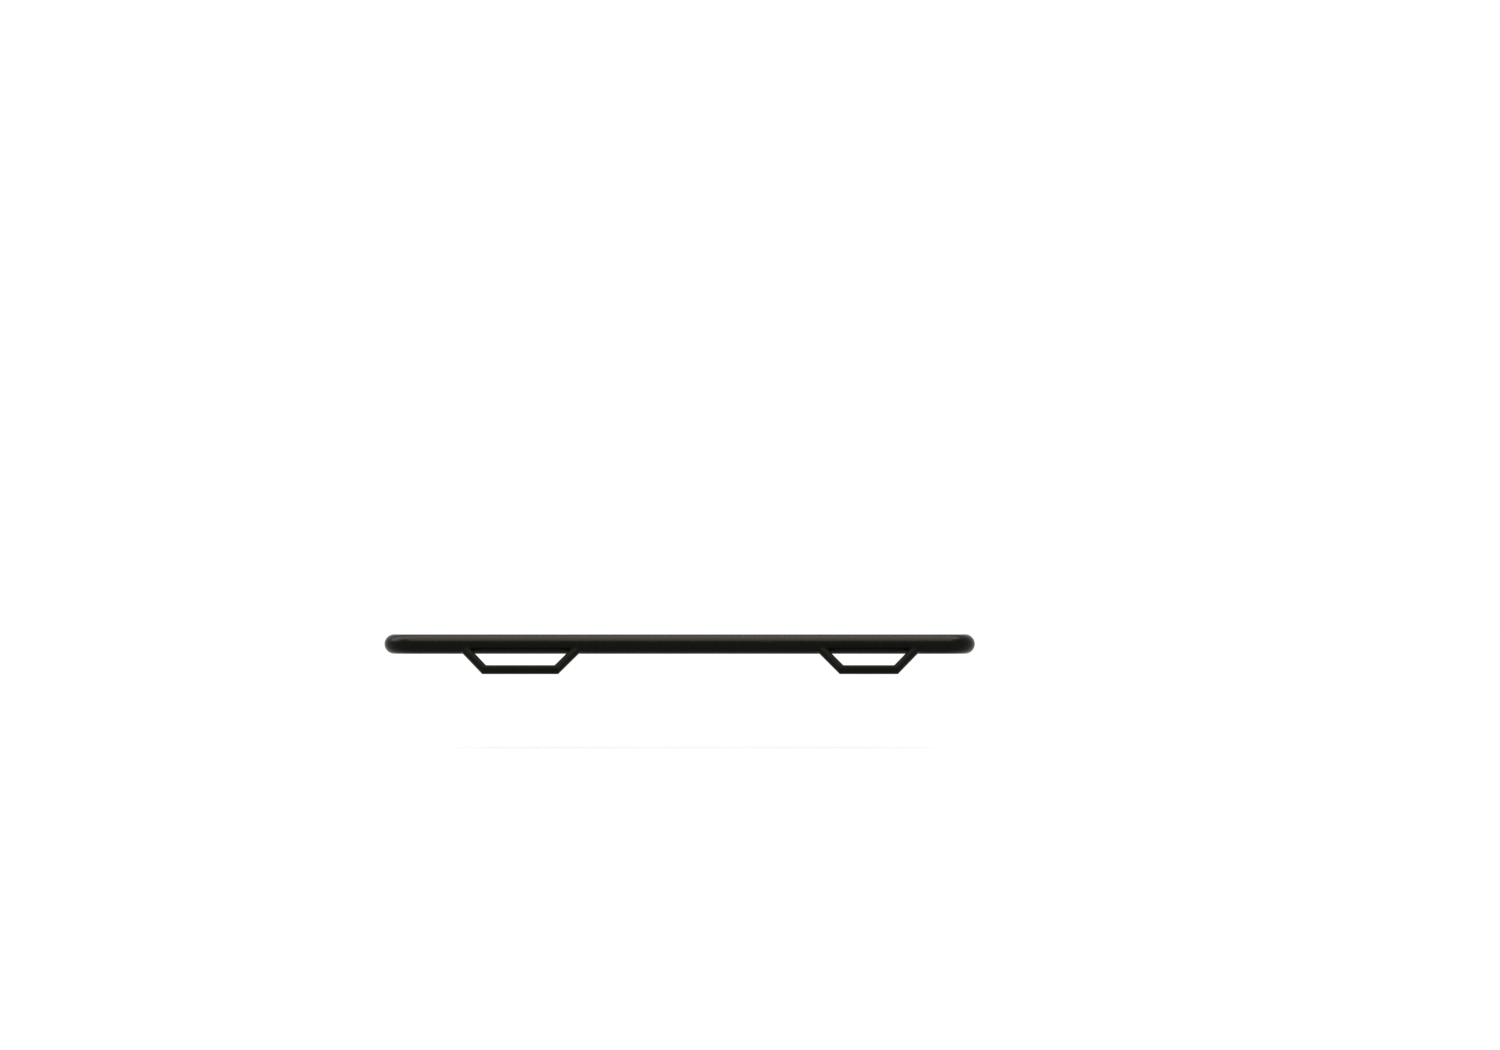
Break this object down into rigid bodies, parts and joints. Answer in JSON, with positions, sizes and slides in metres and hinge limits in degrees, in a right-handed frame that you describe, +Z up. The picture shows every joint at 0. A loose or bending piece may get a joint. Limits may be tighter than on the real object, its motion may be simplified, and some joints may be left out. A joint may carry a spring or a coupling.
{
  "type": "side step bar",
  "caption": "Wheel-to-wheel side step bar for a pickup: round tube bent inboard at both ends, with drop-down hoop steps and bolt-on frame brackets.",
  "frame": {"origin": "middle of the front bracket's pad, on the face that bolts to the vehicle's frame", "axes": "+X along the bar to the vehicle's rear, +Y out of the pads to the vehicle's inboard side, +Z up"},
  "size_m": [2.31, 0.306, 0.1541],
  "materials": {
    "main_tube": "gloss black powder coat",
    "end_cap": "gloss black powder coat",
    "step_tube": "gloss black powder coat",
    "weld_tab": "gloss black powder coat",
    "frame_bracket": "satin black powder coat",
    "fastener": "zinc plated"
  },
  "bodies": {
    "root": {"main_tube": "main_tube", "front_end_cap": "end_cap", "rear_end_cap": "end_cap", "door_step_front_leg": "step_tube", "door_step_tread_tube": "step_tube", "door_step_rear_leg": "step_tube", "bed_step_front_leg": "step_tube", "bed_step_tread_tube": "step_tube", "bed_step_rear_leg": "step_tube", "front_weld_tab": "weld_tab", "front_middle_weld_tab": "weld_tab", "rear_middle_weld_tab": "weld_tab", "rear_weld_tab": "weld_tab", "front_frame_bracket": "frame_bracket", "front_middle_frame_bracket": "frame_bracket", "rear_middle_frame_bracket": "frame_bracket", "rear_frame_bracket": "frame_bracket", "front_outboard_bolt": "fastener", "front_outboard_head_washer": "fastener", "front_outboard_nut_washer": "fastener", "front_outboard_spring_washer": "fastener", "front_outboard_nut": "fastener", "front_inboard_bolt": "fastener", "front_inboard_head_washer": "fastener", "front_inboard_nut_washer": "fastener", "front_inboard_spring_washer": "fastener", "front_inboard_nut": "fastener", "front_middle_outboard_bolt": "fastener", "front_middle_outboard_head_washer": "fastener", "front_middle_outboard_nut_washer": "fastener", "front_middle_outboard_spring_washer": "fastener", "front_middle_outboard_nut": "fastener", "front_middle_inboard_bolt": "fastener", "front_middle_inboard_head_washer": "fastener", "front_middle_inboard_nut_washer": "fastener", "front_middle_inboard_spring_washer": "fastener", "front_middle_inboard_nut": "fastener", "rear_middle_outboard_bolt": "fastener", "rear_middle_outboard_head_washer": "fastener", "rear_middle_outboard_nut_washer": "fastener", "rear_middle_outboard_spring_washer": "fastener", "rear_middle_outboard_nut": "fastener", "rear_middle_inboard_bolt": "fastener", "rear_middle_inboard_head_washer": "fastener", "rear_middle_inboard_nut_washer": "fastener", "rear_middle_inboard_spring_washer": "fastener", "rear_middle_inboard_nut": "fastener", "rear_outboard_bolt": "fastener", "rear_outboard_head_washer": "fastener", "rear_outboard_nut_washer": "fastener", "rear_outboard_spring_washer": "fastener", "rear_outboard_nut": "fastener", "rear_inboard_bolt": "fastener", "rear_inboard_head_washer": "fastener", "rear_inboard_nut_washer": "fastener", "rear_inboard_spring_washer": "fastener", "rear_inboard_nut": "fastener"}
  },
  "joints": []
}
